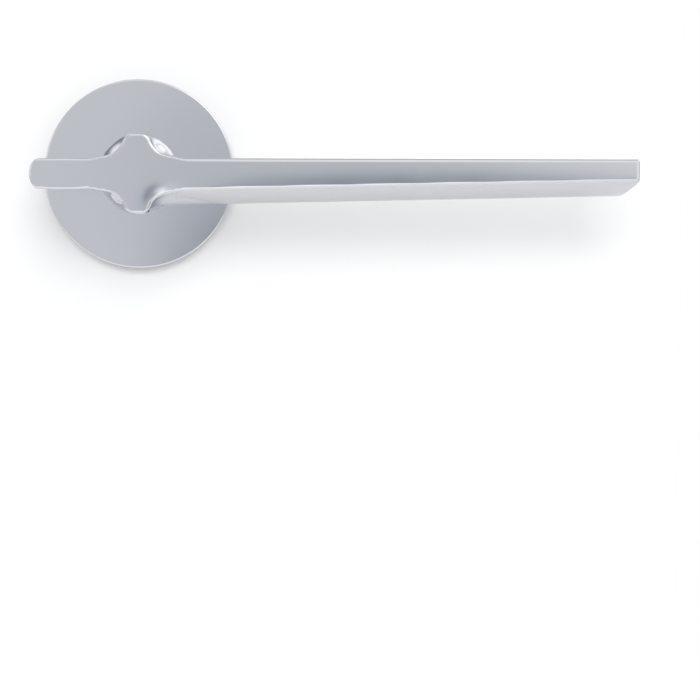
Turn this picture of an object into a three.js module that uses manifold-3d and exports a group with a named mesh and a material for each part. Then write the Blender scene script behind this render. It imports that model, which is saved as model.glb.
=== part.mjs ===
// Door lever handle on a round rose, for one side of a door, with its spindle, return springs and fixings.
//
// Millimetres. +Z is up on the door, +X runs along the lever and +Y goes into the door. The origin is the
// centre of the rose's back face, so the door's face is the plane y = 0 and the handle stands at y < 0.
// The lever turns about the Y axis.

import * as THREE from "three";
import { mergeVertices } from "three/addons/utils/BufferGeometryUtils.js";
import Module from "manifold-3d";

const wasm = await Module();
wasm.setup();

// ---------------------------------------------------------------- driving dimensions

const GAP = 0.3; // clearance between neighbouring pieces
const OVERRUN = 1; // how far a cutter passes the face that it opens

// rose cover: a pressed cup
const ROSE_RADIUS = 26;
const ROSE_FRONT = -8.6; // y of the cover's front face
const ROSE_WALL = 0.9;
const ROSE_FACE = 0.8; // thickness of the cover's front
const ROSE_EDGE = 0.45; // bevel round its front edge
const COVER_HOLE_RADIUS = 10.4;

// lever: neck, tail and arm, one casting
const NECK_RADIUS = 11.05;
const NECK_REAR = -10; // y where the neck begins, in front of the rose
const LEVER_FRONT = -66.5; // y of the front face
const LEVER_BACK = -41; // y of the arm's and the tail's back edge
const RIDGE_HEIGHT = 10; // the top and bottom ridges are trimmed to this
const FLUTE_RADIUS = 7.9;
const FLUTE_X = 10.5; // axis of each flute
const FLUTE_Z = 11.4;
const FLUTE_END = -16; // y where a flute begins to run out
const FLUTE_RUN_OUT = 6;
const TAIL_END = -26.4; // x
const TAIL_TOP = 3.75;
const TAIL_BOTTOM = -3.95;
const TAIL_CORNER = 3;
const ARM_ROOT = 2; // x, buried in the neck
const ARM_TIP_FRONT = 126.7; // x of the tip at the front face
const ARM_TIP_BACK = 127.5;
const ARM_LEAN = 1; // the back face's lower edge is this much nearer the front
// heights of the arm's four long edges: [at the root, at the tip]
const ARM_FRONT_TOP = [3.82, 3.6];
const ARM_FRONT_BOTTOM = [-4.52, -2.1];
const ARM_BACK_TOP = [0, -0.35];
const ARM_BACK_BOTTOM = [-8.36, -6.05];

// spigot: the lever's rear end, inside the rose
const SPIGOT_RADIUS = 8;
const SPIGOT_END = -0.6; // y
const SPIGOT_FLAT = 6.5; // half the width across its two flats
const SPIGOT_FLAT_START = -4; // y where the flats begin
const GROOVE_RADIUS = 6.9;
const GROOVE = [-2.5, -1.4]; // y, from and to

// spindle and its grub screw
const SPINDLE_WIDTH = 8;
const SPINDLE_FRONT = -30; // y
const SPINDLE_END = 40;
const SPINDLE_CHAMFER = 0.5;
const GRUB_RADIUS = 2.5;
const GRUB_Y = -13.5;
const GRUB_LENGTH = 6;
const GRUB_KEY = 2.5; // across the flats of its hexagon socket
const GRUB_KEY_DEPTH = 2.6;

// base plate: cast, with a wall, two bolt bosses, two screw posts, spring seats and stops
const BASE_RADIUS = 24.8;
const BASE_WALL_INNER = 21.6;
const BASE_FLOOR = -1.8; // y of the floor's front
const BASE_TOP = -7.4; // y of the wall's front
const BASE_HOLE_RADIUS = 11;
const SNAP_GROOVE_RADIUS = 23.8;
const SNAP_GROOVE = [-4.4, -3.2]; // y, from and to
const BOLT_X = 19; // bolts at 38 mm centres
const BOLT_BOSS_RADIUS = 3.5;
const BOLT_BOSS_TOP = -3.5; // y
const POST_Z = 18.2;
const POST_RADIUS = 3;
const POST_TOP = -6; // y
const POST_HOLE_END = -2.1;
const SNAP_OPENING = 14;

// fixings
const BOLT_RADIUS = 2;
const BOLT_END = 35; // y
const BOLT_HEAD_RADIUS = 3.4;
const BOLT_HEAD = [-6.9, -4.7]; // y, from and to
const BOLT_WASHER_RADIUS = 3.9;
const BOLT_WASHER = [-4.4, -3.8]; // y, from and to
const SCREW_RADIUS = 1.25;
const SCREW_HEAD_RADIUS = 2.3;
const SCREW_HEAD = [-7.5, -6.45]; // y, from and to
const SCREW_END = -2.4;
const SLOT_WIDTH = 0.9; // screwdriver slots
const SLOT_DEPTH = 0.8;

// cassette plate and the bush that it carries
const PLATE_RADIUS = 21.3;
const PLATE = [-7.6, -6.3]; // y, from and to
const PLATE_HOLE_RADIUS = 9.5;
const PLATE_NOTCH_RADIUS = 4.6;
const BUSH_RADIUS = 9.2;
const BUSH_FRONT = -8.3; // y
const BUSH_FLANGE_RADIUS = 10.6;
const BUSH_FLANGE = [-6, -5.3]; // y, from and to
const BEARING_PLAY = 0.08;
const COLLAR_RADIUS = 10;

// what turns on the spigot, behind the bush
const WASHER_OUTER = 9.6;
const WAVE_Y = -4.85;
const WAVE_THICKNESS = 0.28;
const WAVE_HEIGHT = 0.14; // half the height of its waves
const WAVE_COUNT = 3;
const THRUST_WASHER = [-4.4, -4.1]; // y, from and to
const DRIVER = [-3.9, -2.7]; // y, from and to
const DRIVER_HUB_RADIUS = 10.5;
const DRIVER_REACH = 14.9; // to the tips of its two arms
const DRIVER_ARM_WIDTH = 5;
const CIRCLIP = [-2.3, -1.6]; // y, from and to
const CIRCLIP_INNER = 7.2;
const CIRCLIP_OUTER = 9;
const CIRCLIP_OPENING = 4.4;

// return springs: upright, one under the driver's right arm and one over its left arm.
// NEAR and FAR are the heights of the wire's ends, at the driver and at the seat.
const SPRING_X = 13.1;
const SPRING_Y = -4.05;
const SPRING_RADIUS = 1.65; // to the middle of the wire
const WIRE_RADIUS = 0.35;
const SPRING_NEAR = 3.2;
const SPRING_FAR = 14.1;
const SPRING_TURNS = 6;
const SPRING_STEPS_PER_TURN = 12;
const SEAT_DEPTH = 2.6;

// stops: beside the driver's arms, at rest and at the limit of the lever's travel
const STOP_GAP = 0.25;
const STOP_WIDTH = 2.4;
const LEVER_TRAVEL = Math.PI / 4;
const INTO_FLOOR = BASE_FLOOR + 0.5; // how deep what stands on the base plate is rooted in its floor

// facets round a full turn
const FINE = 72;
const MEDIUM = 40;
const COARSE = 20;

// ---------------------------------------------------------------- materials

function metal(color, roughness) {
  return new THREE.MeshStandardMaterial({ color, roughness, metalness: 1 });
}

function plastic(color, roughness) {
  return new THREE.MeshStandardMaterial({ color, roughness, metalness: 0 });
}

const CHROME = () => metal(0xd3d6db, 0.08);
const STEEL = () => metal(0xb4b6b8, 0.35);
const SPRING_STEEL = () => metal(0x8f9296, 0.3);
const ZINC = () => metal(0xa7abae, 0.5);
const NYLON = () => plastic(0x2b2d30, 0.55);

// ---------------------------------------------------------------- shape helpers

// Geometry with shared vertices, no needle triangles and its faces pointing out.
function cleaned(geometry) {
  geometry.deleteAttribute("normal");
  geometry.deleteAttribute("uv");
  const merged = mergeVertices(geometry, 1e-4);
  const position = merged.attributes.position;
  const index = merged.index.array;
  const kept = [];
  let volume = 0;
  const a = new THREE.Vector3();
  const b = new THREE.Vector3();
  const c = new THREE.Vector3();
  for (let i = 0; i < index.length; i += 3) {
    const [p, q, r] = [index[i], index[i + 1], index[i + 2]];
    if (p === q || q === r || r === p) continue;
    kept.push(p, q, r);
    a.fromBufferAttribute(position, p);
    b.fromBufferAttribute(position, q);
    c.fromBufferAttribute(position, r);
    volume += a.dot(b.cross(c));
  }
  merged.setIndex(volume < 0 ? kept.reverse() : kept);
  return merged;
}

function solidOf(geometry) {
  const clean = cleaned(geometry);
  const mesh = new wasm.Mesh({
    numProp: 3,
    vertProperties: new Float32Array(clean.attributes.position.array),
    triVerts: new Uint32Array(clean.index.array),
  });
  return new wasm.Manifold(mesh);
}

function geometryOf(solid) {
  const mesh = solid.getMesh();
  const geometry = new THREE.BufferGeometry();
  geometry.setAttribute("position", new THREE.Float32BufferAttribute(mesh.vertProperties, 3));
  geometry.setIndex([...mesh.triVerts]);
  return geometry;
}

// A body of revolution about the Y axis, from [radius, y] points.
function turned(points, facets = MEDIUM) {
  const profile = points.map(([radius, y]) => new THREE.Vector2(radius, y));
  return new THREE.LatheGeometry(profile, facets);
}

// A plain cylinder about the Y axis.
function disc(radius, [from, to], facets = MEDIUM) {
  return turned([[0, from], [radius, from], [radius, to], [0, to]], facets);
}

// A ring about the Y axis.
function ring(inner, outer, [from, to], facets = MEDIUM) {
  return turned([[inner, from], [outer, from], [outer, to], [inner, to], [inner, from]], facets);
}

// A box from its lowest and highest corners.
function block(low, high) {
  const size = high.map((value, i) => value - low[i]);
  const geometry = new THREE.BoxGeometry(...size);
  return geometry.translate(...low.map((value, i) => value + size[i] / 2));
}

// A flat outline drawn in x and z, carried along y.
function carried(shape, [from, to], facets = 12) {
  const geometry = new THREE.ExtrudeGeometry(shape, {
    depth: to - from,
    bevelEnabled: false,
    curveSegments: facets,
  });
  return geometry.rotateX(Math.PI / 2).translate(0, to, 0);
}

// A regular hexagon prism about the Y axis, from its width across flats.
function hexagon(width, span) {
  return disc(width / Math.sqrt(3), span, 6);
}

function mix([from, to], share) {
  return from + (to - from) * share;
}

// ---------------------------------------------------------------- the lever casting

// One flute: a long round cutter whose rear end is a half ellipsoid.
function fluteCutter(x, z) {
  const points = [[0, LEVER_FRONT - OVERRUN], [FLUTE_RADIUS, LEVER_FRONT - OVERRUN]];
  const steps = 8;
  for (let i = 0; i <= steps; i++) {
    const angle = ((Math.PI / 2) * i) / steps;
    const radius = i === steps ? 0 : FLUTE_RADIUS * Math.cos(angle);
    points.push([radius, FLUTE_END + FLUTE_RUN_OUT * Math.sin(angle)]);
  }
  return solidOf(turned(points, 56).translate(x, 0, z));
}

// The neck: a round bar with four flutes, trimmed flat on top and below.
function neckSolid() {
  let neck = solidOf(disc(NECK_RADIUS, [LEVER_FRONT, NECK_REAR], FINE));
  for (const x of [-FLUTE_X, FLUTE_X]) {
    for (const z of [-FLUTE_Z, FLUTE_Z]) {
      neck = neck.subtract(fluteCutter(x, z));
    }
  }
  const wide = NECK_RADIUS + OVERRUN;
  for (const turn of [0, Math.PI]) {
    const trim = block([-wide, LEVER_FRONT - OVERRUN, RIDGE_HEIGHT], [wide, FLUTE_END, wide]);
    neck = neck.subtract(solidOf(trim.rotateY(turn)));
  }
  return neck;
}

// The tail: a flat bar with a round end.
function tailSolid() {
  const outline = new THREE.Shape();
  const inner = TAIL_END + TAIL_CORNER;
  outline.moveTo(0, TAIL_BOTTOM);
  outline.lineTo(0, TAIL_TOP);
  outline.lineTo(inner, TAIL_TOP);
  outline.absarc(inner, TAIL_TOP - TAIL_CORNER, TAIL_CORNER, Math.PI / 2, Math.PI, false);
  outline.absarc(inner, TAIL_BOTTOM + TAIL_CORNER, TAIL_CORNER, Math.PI, Math.PI * 1.5, false);
  outline.closePath();
  return solidOf(carried(outline, [LEVER_FRONT, LEVER_BACK], 6));
}

// The arm: a box whose eight corners are moved to its tapered, leaning section.
function armSolid() {
  const geometry = new THREE.BoxGeometry(1, 1, 1);
  const position = geometry.attributes.position;
  for (let i = 0; i < position.count; i++) {
    const atTip = position.getX(i) > 0;
    const atBack = position.getY(i) > 0;
    const atTop = position.getZ(i) > 0;
    const tip = atBack ? ARM_TIP_BACK : ARM_TIP_FRONT;
    const top = atBack ? ARM_BACK_TOP : ARM_FRONT_TOP;
    const bottom = atBack ? ARM_BACK_BOTTOM : ARM_FRONT_BOTTOM;
    const back = atTop ? LEVER_BACK : LEVER_BACK - ARM_LEAN;
    const edge = atTop ? top : bottom;
    position.setXYZ(i, atTip ? tip : ARM_ROOT, atBack ? back : LEVER_FRONT, edge[atTip ? 1 : 0]);
  }
  return solidOf(geometry);
}

// The spigot: round in the bush, with two flats for the driver and a groove for the circlip.
function spigotSolid() {
  let spigot = solidOf(disc(SPIGOT_RADIUS, [NECK_REAR - OVERRUN, SPIGOT_END], 48));
  const wide = SPIGOT_RADIUS + OVERRUN;
  for (const turn of [0, Math.PI]) {
    const flat = block([-wide, SPIGOT_FLAT_START, SPIGOT_FLAT], [wide, SPIGOT_END + OVERRUN, wide]);
    spigot = spigot.subtract(solidOf(flat.rotateY(turn)));
  }
  return spigot.subtract(solidOf(ring(GROOVE_RADIUS, wide, GROOVE, 48)));
}

function grubHole() {
  const hole = disc(GRUB_RADIUS + GAP, [-NECK_RADIUS - OVERRUN, -SPINDLE_WIDTH / 4], COARSE);
  return solidOf(hole.rotateX(Math.PI / 2).translate(0, GRUB_Y, 0));
}

function leverGeometry() {
  const half = SPINDLE_WIDTH / 2 + GAP;
  const socket = block([-half, SPINDLE_FRONT - OVERRUN, -half], [half, SPIGOT_END + OVERRUN, half]);
  const lever = neckSolid()
    .add(tailSolid())
    .add(armSolid())
    .add(spigotSolid())
    .subtract(solidOf(socket))
    .subtract(grubHole());
  return geometryOf(lever);
}

// ---------------------------------------------------------------- what turns with the lever

function neckCollarGeometry() {
  return ring(SPIGOT_RADIUS + GAP, COLLAR_RADIUS, [NECK_REAR + GAP, ROSE_FRONT]);
}

function waveWasherGeometry() {
  const half = WAVE_THICKNESS / 2;
  const geometry = ring(SPIGOT_RADIUS + GAP, WASHER_OUTER, [WAVE_Y - half, WAVE_Y + half]);
  const position = geometry.attributes.position;
  for (let i = 0; i < position.count; i++) {
    const angle = Math.atan2(position.getZ(i), position.getX(i));
    position.setY(i, position.getY(i) + WAVE_HEIGHT * Math.cos(WAVE_COUNT * angle));
  }
  return geometry;
}

function thrustWasherGeometry() {
  return ring(SPIGOT_RADIUS + GAP, WASHER_OUTER, THRUST_WASHER);
}

// The driver: a hub with two arms, whose bore fits the flats on the spigot.
function driverCamGeometry() {
  const half = DRIVER_ARM_WIDTH / 2;
  const across = SPIGOT_FLAT + GAP;
  const wide = SPIGOT_RADIUS + OVERRUN;
  const arms = solidOf(block([-DRIVER_REACH, DRIVER[0], -half], [DRIVER_REACH, DRIVER[1], half]))
    .intersect(solidOf(disc(DRIVER_REACH, DRIVER)));
  const open = [DRIVER[0] - OVERRUN, DRIVER[1] + OVERRUN];
  const bore = solidOf(disc(SPIGOT_RADIUS + GAP, open))
    .intersect(solidOf(block([-wide, open[0], -across], [wide, open[1], across])));
  return geometryOf(solidOf(disc(DRIVER_HUB_RADIUS, DRIVER)).add(arms).subtract(bore));
}

// The circlip: an open ring with an ear and a plier hole at each end.
function circlipGeometry() {
  const halfOpening = CIRCLIP_OPENING / 2;
  const earRadius = 1.5;
  const plierHoleRadius = 0.6;
  const earX = halfOpening + 1.3;
  const earZ = -8.4;
  const through = [CIRCLIP[0] - OVERRUN, CIRCLIP[1] + OVERRUN];
  let clip = solidOf(ring(CIRCLIP_INNER, CIRCLIP_OUTER, CIRCLIP));
  for (const side of [-1, 1]) {
    clip = clip.add(solidOf(disc(earRadius, CIRCLIP, COARSE).translate(side * earX, 0, earZ)));
  }
  clip = clip.subtract(
    solidOf(block([-halfOpening, through[0], -12], [halfOpening, through[1], 0])),
  );
  for (const side of [-1, 1]) {
    clip = clip.subtract(solidOf(disc(plierHoleRadius, through, 12).translate(side * earX, 0, earZ)));
  }
  return geometryOf(clip);
}

function spindleGeometry() {
  const half = SPINDLE_WIDTH / 2;
  const cut = half - SPINDLE_CHAMFER;
  const outline = new THREE.Shape();
  outline.moveTo(half, -cut);
  outline.lineTo(half, cut);
  outline.lineTo(cut, half);
  outline.lineTo(-cut, half);
  outline.lineTo(-half, cut);
  outline.lineTo(-half, -cut);
  outline.lineTo(-cut, -half);
  outline.lineTo(cut, -half);
  outline.closePath();
  return carried(outline, [SPINDLE_FRONT, SPINDLE_END]);
}

// The grub screw stands upright in the underside of the neck, with its socket down.
function grubScrewGeometry() {
  const top = -SPINDLE_WIDTH / 2 - GAP;
  const bottom = top - GRUB_LENGTH;
  const screw = solidOf(disc(GRUB_RADIUS, [bottom, top], COARSE))
    .subtract(solidOf(hexagon(GRUB_KEY, [bottom - OVERRUN, bottom + GRUB_KEY_DEPTH])));
  return geometryOf(screw).rotateX(Math.PI / 2).translate(0, GRUB_Y, 0);
}

// ---------------------------------------------------------------- the rose

function roseCoverGeometry() {
  const inner = ROSE_RADIUS - ROSE_WALL;
  const inside = ROSE_FRONT + ROSE_FACE;
  const profile = [
    [COVER_HOLE_RADIUS, ROSE_FRONT],
    [ROSE_RADIUS - ROSE_EDGE, ROSE_FRONT],
    [ROSE_RADIUS - ROSE_EDGE * 0.3, ROSE_FRONT + ROSE_EDGE * 0.3],
    [ROSE_RADIUS, ROSE_FRONT + ROSE_EDGE],
    [ROSE_RADIUS, 0],
    [inner, 0],
    [inner, inside],
    [COVER_HOLE_RADIUS, inside],
    [COVER_HOLE_RADIUS, ROSE_FRONT],
  ];
  return turned(profile, FINE);
}

// A stop beside one of the driver's arms: side 1 where its angle grows, -1 where it falls.
function stopSolid(armAngle, side) {
  const near = DRIVER_ARM_WIDTH / 2 + STOP_GAP;
  const far = near + STOP_WIDTH;
  const low = [BASE_HOLE_RADIUS, DRIVER[0] - GAP, side > 0 ? near : -far];
  const high = [DRIVER_REACH, INTO_FLOOR, side > 0 ? far : -near];
  return solidOf(block(low, high).rotateY(-armAngle));
}

// The seat of the spring under the driver's right arm.
function springSeat() {
  const half = SPRING_RADIUS + WIRE_RADIUS;
  const face = SPRING_FAR + WIRE_RADIUS + GAP;
  const low = [SPRING_X - half, SPRING_Y - half, -face - SEAT_DEPTH];
  const high = [SPRING_X + half, INTO_FLOOR, -face];
  return block(low, high);
}

// The base plate carries everything in the rose. Each of its features is there twice, half a turn apart.
function basePlateGeometry() {
  const boss = [BOLT_BOSS_TOP, INTO_FLOOR];
  const post = [POST_TOP, INTO_FLOOR];
  const through = [BASE_TOP - OVERRUN, OVERRUN];
  let plate = solidOf(disc(BASE_RADIUS, [BASE_FLOOR, 0], FINE))
    .subtract(solidOf(disc(BASE_HOLE_RADIUS, through)))
    .add(solidOf(ring(BASE_WALL_INNER, BASE_RADIUS, [BASE_TOP, INTO_FLOOR], FINE)))
    .subtract(solidOf(ring(SNAP_GROOVE_RADIUS, BASE_RADIUS + OVERRUN, SNAP_GROOVE, FINE)));
  for (const turn of [0, Math.PI]) {
    const side = turn === 0 ? 1 : -1;
    const postHole = disc(SCREW_RADIUS + GAP, [POST_TOP - OVERRUN, POST_HOLE_END], COARSE);
    const headRoom = disc(BOLT_WASHER_RADIUS + GAP, [through[0], BOLT_BOSS_TOP]);
    plate = plate
      .subtract(solidOf(headRoom.translate(side * BOLT_X, 0, 0)))
      .add(solidOf(disc(BOLT_BOSS_RADIUS, boss, MEDIUM).translate(side * BOLT_X, 0, 0)))
      .add(solidOf(disc(POST_RADIUS, post, MEDIUM).translate(0, 0, side * POST_Z)))
      .add(solidOf(springSeat().rotateY(turn)))
      .add(stopSolid(turn, 1))
      .add(stopSolid(turn - LEVER_TRAVEL, -1))
      .subtract(solidOf(disc(BOLT_RADIUS + GAP, through, COARSE).translate(side * BOLT_X, 0, 0)))
      .subtract(solidOf(postHole.translate(0, 0, side * POST_Z)));
  }
  return geometryOf(plate);
}

// The cassette plate closes the spring pockets. It is notched round the bolt heads.
function cassettePlateGeometry() {
  const through = [PLATE[0] - OVERRUN, PLATE[1] + OVERRUN];
  const sunk = [
    [0, PLATE[0] - OVERRUN],
    [SCREW_HEAD_RADIUS + GAP + OVERRUN, PLATE[0] - OVERRUN],
    [SCREW_RADIUS + GAP, SCREW_HEAD[1]],
    [SCREW_RADIUS + GAP, through[1]],
    [0, through[1]],
  ];
  let plate = solidOf(ring(PLATE_HOLE_RADIUS, PLATE_RADIUS, PLATE, FINE));
  for (const side of [-1, 1]) {
    plate = plate
      .subtract(solidOf(disc(PLATE_NOTCH_RADIUS, through).translate(side * BOLT_X, 0, 0)))
      .subtract(solidOf(turned(sunk, COARSE).translate(0, 0, side * POST_Z)));
  }
  return geometryOf(plate);
}

function bearingBushGeometry() {
  const bore = SPIGOT_RADIUS + BEARING_PLAY;
  const profile = [
    [bore, BUSH_FRONT],
    [BUSH_RADIUS, BUSH_FRONT],
    [BUSH_RADIUS, BUSH_FLANGE[0]],
    [BUSH_FLANGE_RADIUS, BUSH_FLANGE[0]],
    [BUSH_FLANGE_RADIUS, BUSH_FLANGE[1]],
    [bore, BUSH_FLANGE[1]],
    [bore, BUSH_FRONT],
  ];
  return turned(profile, 48);
}

// A compression spring as one wire, drawn along +Z from its seated end.
class SpringLine extends THREE.Curve {
  getPoint(share, target = new THREE.Vector3()) {
    const angle = share * SPRING_TURNS * Math.PI * 2;
    const height = mix([SPRING_FAR, SPRING_NEAR], share);
    return target.set(SPRING_RADIUS * Math.cos(angle), SPRING_RADIUS * Math.sin(angle), -height);
  }
}

// The spring under the right arm; half a turn about Y puts it over the left arm.
function returnSpringGeometry(turn) {
  const wire = new THREE.Shape();
  wire.absarc(0, 0, WIRE_RADIUS, 0, Math.PI * 2, false);
  const geometry = new THREE.ExtrudeGeometry(wire, {
    steps: SPRING_TURNS * SPRING_STEPS_PER_TURN,
    curveSegments: 3,
    extrudePath: new SpringLine(),
  });
  return geometry.translate(SPRING_X, SPRING_Y, 0).rotateY(turn);
}

// The snap ring: a flat open ring in the base plate's groove, which grips the cover.
function coverSnapRingGeometry() {
  const span = [SNAP_GROOVE[0] + GAP / 2, SNAP_GROOVE[1] - GAP / 2];
  const snap = ring(SNAP_GROOVE_RADIUS + GAP, BASE_RADIUS, span, FINE);
  const opening = block([-SNAP_OPENING / 2, BASE_TOP, -ROSE_RADIUS], [SNAP_OPENING / 2, 0, 0]);
  return geometryOf(solidOf(snap).subtract(solidOf(opening)));
}

// ---------------------------------------------------------------- fixings

// A slot across a screw head whose top is at y = top.
function slotSolid(radius, top) {
  const half = SLOT_WIDTH / 2;
  return solidOf(block([-radius, top - OVERRUN, -half], [radius, top + SLOT_DEPTH, half]));
}

// A bolt through the door, with a pan head.
function fixingBoltGeometry() {
  const crown = 0.6;
  const profile = [
    [0, BOLT_HEAD[0]],
    [BOLT_HEAD_RADIUS - crown, BOLT_HEAD[0]],
    [BOLT_HEAD_RADIUS, BOLT_HEAD[0] + crown],
    [BOLT_HEAD_RADIUS, BOLT_HEAD[1]],
    [BOLT_RADIUS, BOLT_HEAD[1]],
    [BOLT_RADIUS, BOLT_END - crown],
    [BOLT_RADIUS - crown, BOLT_END],
    [0, BOLT_END],
  ];
  return geometryOf(solidOf(turned(profile, 24)).subtract(slotSolid(BOLT_HEAD_RADIUS + 1, BOLT_HEAD[0])));
}

function boltWasherGeometry() {
  return ring(BOLT_RADIUS + GAP, BOLT_WASHER_RADIUS, BOLT_WASHER, 24);
}

// A countersunk screw of the cassette plate.
function plateScrewGeometry() {
  const profile = [
    [0, SCREW_HEAD[0]],
    [SCREW_HEAD_RADIUS, SCREW_HEAD[0]],
    [SCREW_RADIUS, SCREW_HEAD[1]],
    [SCREW_RADIUS, SCREW_END],
    [0, SCREW_END],
  ];
  return geometryOf(solidOf(turned(profile, COARSE)).subtract(slotSolid(SCREW_HEAD_RADIUS + 1, SCREW_HEAD[0])));
}

// ---------------------------------------------------------------- assembly

const group = new THREE.Group();

function place(name, geometry, material, x = 0, z = 0) {
  const mesh = new THREE.Mesh(cleaned(geometry), material);
  mesh.name = name;
  mesh.position.set(x, 0, z);
  group.add(mesh);
}

// turning with the lever
place("lever", leverGeometry(), CHROME());
place("neck_collar", neckCollarGeometry(), STEEL());
place("wave_washer", waveWasherGeometry(), SPRING_STEEL());
place("thrust_washer", thrustWasherGeometry(), NYLON());
place("driver_cam", driverCamGeometry(), STEEL());
place("circlip", circlipGeometry(), SPRING_STEEL());
place("spindle", spindleGeometry(), STEEL());
place("grub_screw", grubScrewGeometry(), STEEL());

// fixed to the door
place("rose_cover", roseCoverGeometry(), CHROME());
place("base_plate", basePlateGeometry(), ZINC());
place("cassette_plate", cassettePlateGeometry(), STEEL());
place("bearing_bush", bearingBushGeometry(), NYLON());
place("cover_snap_ring", coverSnapRingGeometry(), SPRING_STEEL());
place("return_spring_right", returnSpringGeometry(0), SPRING_STEEL());
place("return_spring_left", returnSpringGeometry(Math.PI), SPRING_STEEL());
place("plate_screw_top", plateScrewGeometry(), STEEL(), 0, POST_Z);
place("plate_screw_bottom", plateScrewGeometry(), STEEL(), 0, -POST_Z);
for (const [name, side] of [["left", -1], ["right", 1]]) {
  place(`fixing_bolt_${name}`, fixingBoltGeometry(), STEEL(), side * BOLT_X);
  place(`bolt_washer_${name}`, boltWasherGeometry(), STEEL(), side * BOLT_X);
}

export default group;
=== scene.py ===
"""Looks of a polished door lever handle on a round rose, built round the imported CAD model.

The cast, stamped and threaded pieces are smooth surfaces found from distance formulas. The turned ones
are lathed with true edge rounds. Lengths in the shape code are millimetres, as on a drawing, and every
mesh is scaled to metres when it is made. +X runs along the lever, +Y into the door and +Z up.

A distance formula, or field, is below zero inside its shape and about the distance to the surface.
"""

import math

import bpy
import numpy as np
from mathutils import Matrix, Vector


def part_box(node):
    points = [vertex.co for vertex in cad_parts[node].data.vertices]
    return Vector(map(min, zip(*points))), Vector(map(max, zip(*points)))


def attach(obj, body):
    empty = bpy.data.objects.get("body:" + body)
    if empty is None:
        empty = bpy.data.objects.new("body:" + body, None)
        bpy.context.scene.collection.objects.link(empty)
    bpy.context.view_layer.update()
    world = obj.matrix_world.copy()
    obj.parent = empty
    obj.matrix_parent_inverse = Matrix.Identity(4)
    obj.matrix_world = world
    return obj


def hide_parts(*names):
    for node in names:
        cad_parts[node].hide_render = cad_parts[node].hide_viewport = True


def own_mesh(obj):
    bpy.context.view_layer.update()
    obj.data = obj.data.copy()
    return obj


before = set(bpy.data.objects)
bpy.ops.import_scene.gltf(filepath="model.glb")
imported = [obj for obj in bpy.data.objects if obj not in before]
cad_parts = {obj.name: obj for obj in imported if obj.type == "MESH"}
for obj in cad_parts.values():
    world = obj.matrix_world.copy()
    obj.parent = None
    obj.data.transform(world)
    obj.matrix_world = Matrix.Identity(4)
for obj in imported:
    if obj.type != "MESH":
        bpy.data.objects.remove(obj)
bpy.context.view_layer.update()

MM = 0.001

# ---------------- driving dimensions, in millimetres

def corner(node, which):
    """A corner of a CAD node's box, in millimetres: which is 0 for the lowest and 1 for the highest."""
    return np.array(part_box(node)[which]) / MM


def depths(node):
    """The y of the front and of the rear of a CAD node."""
    return corner(node, 0)[1], corner(node, 1)[1]


LEVER_LOW = corner("lever", 0)
LEVER_HIGH = corner("lever", 1)
LEVER_FRONT, SPIGOT_END = depths("lever")
TAIL_END = LEVER_LOW[0]
ARM_TIP = LEVER_HIGH[0]
NECK_RADIUS = LEVER_HIGH[2]

ROSE_RADIUS = corner("rose_cover", 1)[0]
ROSE_FRONT = corner("rose_cover", 0)[1]
COLLAR_RADIUS = corner("neck_collar", 1)[0]

NECK_REAR = -10.0  # y of the neck's end, in front of the rose
BLADE_BACK = -41.0  # y of the back edge of the arm and the tail
RIDGE_HEIGHT = 10.0
FLUTE_RADIUS = 7.9
FLUTE_X = 10.5
FLUTE_Z = 11.4
FLUTE_END = -16.0
FLUTE_RUN_OUT = 6.0
NECK_EDGE = 1.8  # round on the edges between flutes and ridges
TAIL_TOP = 3.75
TAIL_BOTTOM = -3.95
TAIL_ROUND = 2.3  # length of the tail's D-shaped end
TAIL_CROWN = 0.0037  # fall of the tail's top and bottom, times the squared distance from TAIL_CROWN_X
TAIL_CROWN_X = -18.0
ARM_ROOT = 2.0
ARM_FRONT_TOP = (3.82, 3.6)  # heights of the arm's long edges, at the root and at the tip
ARM_FRONT_BOTTOM = (-4.52, -2.1)
ARM_BACK_TOP = (0.0, -0.35)
ARM_BACK_BOTTOM = (-8.36, -6.05)
ARM_TIP_SLANT = 0.8  # how much shorter the arm is at its front
ARM_LEAN = 1.0
ARM_CROWN = 0.4  # how far the arm's top and bottom stand proud of flat, halfway across
FACE_CROWN = 0.006  # fall of the arm's front face, times the squared distance from its middle
EDGE = 0.55  # round on the blade's long edges
FRONT_EDGE = (0.55, 0.85)  # round on the edges of the front face, at the tail and along the arm
INNER_FILLET = 2.2  # between the neck and the blade
CROTCH = (6.2, -7.2)  # x and z of the corner under the arm, where polishing has worn the front face
CROTCH_SIZE = 2.2
CROTCH_WEAR = 0.5
SPIGOT_RADIUS = 8.0
SPIGOT_FLAT = 6.5
SPIGOT_FLAT_START = -4.0
GROOVE_RADIUS = 6.9
GROOVE = (-2.5, -1.4)
SOCKET_HALF = 4.3
SOCKET_FRONT = -31.0
GRUB_Y = -13.5
GRUB_HOLE_RADIUS = 2.6


# ---------------- distance formulas

def round_and(radius, *fields):
    """What is inside all the fields, with its outer edges rounded."""
    inner = [field + radius for field in fields]
    outside = np.sqrt(sum(np.maximum(field, 0.0) ** 2 for field in inner))
    inside = np.minimum(np.maximum.reduce(inner), 0.0)
    return outside + inside - radius


def round_or(radius, *fields):
    """What is inside any of the fields, with its inner corners filleted."""
    return -round_and(radius, *[-field for field in fields])


def mix(pair, share):
    return pair[0] + (pair[1] - pair[0]) * share


def smooth_step(low, high, value):
    share = np.clip((value - low) / (high - low), 0.0, 1.0)
    return share * share * (3.0 - 2.0 * share)


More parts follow.
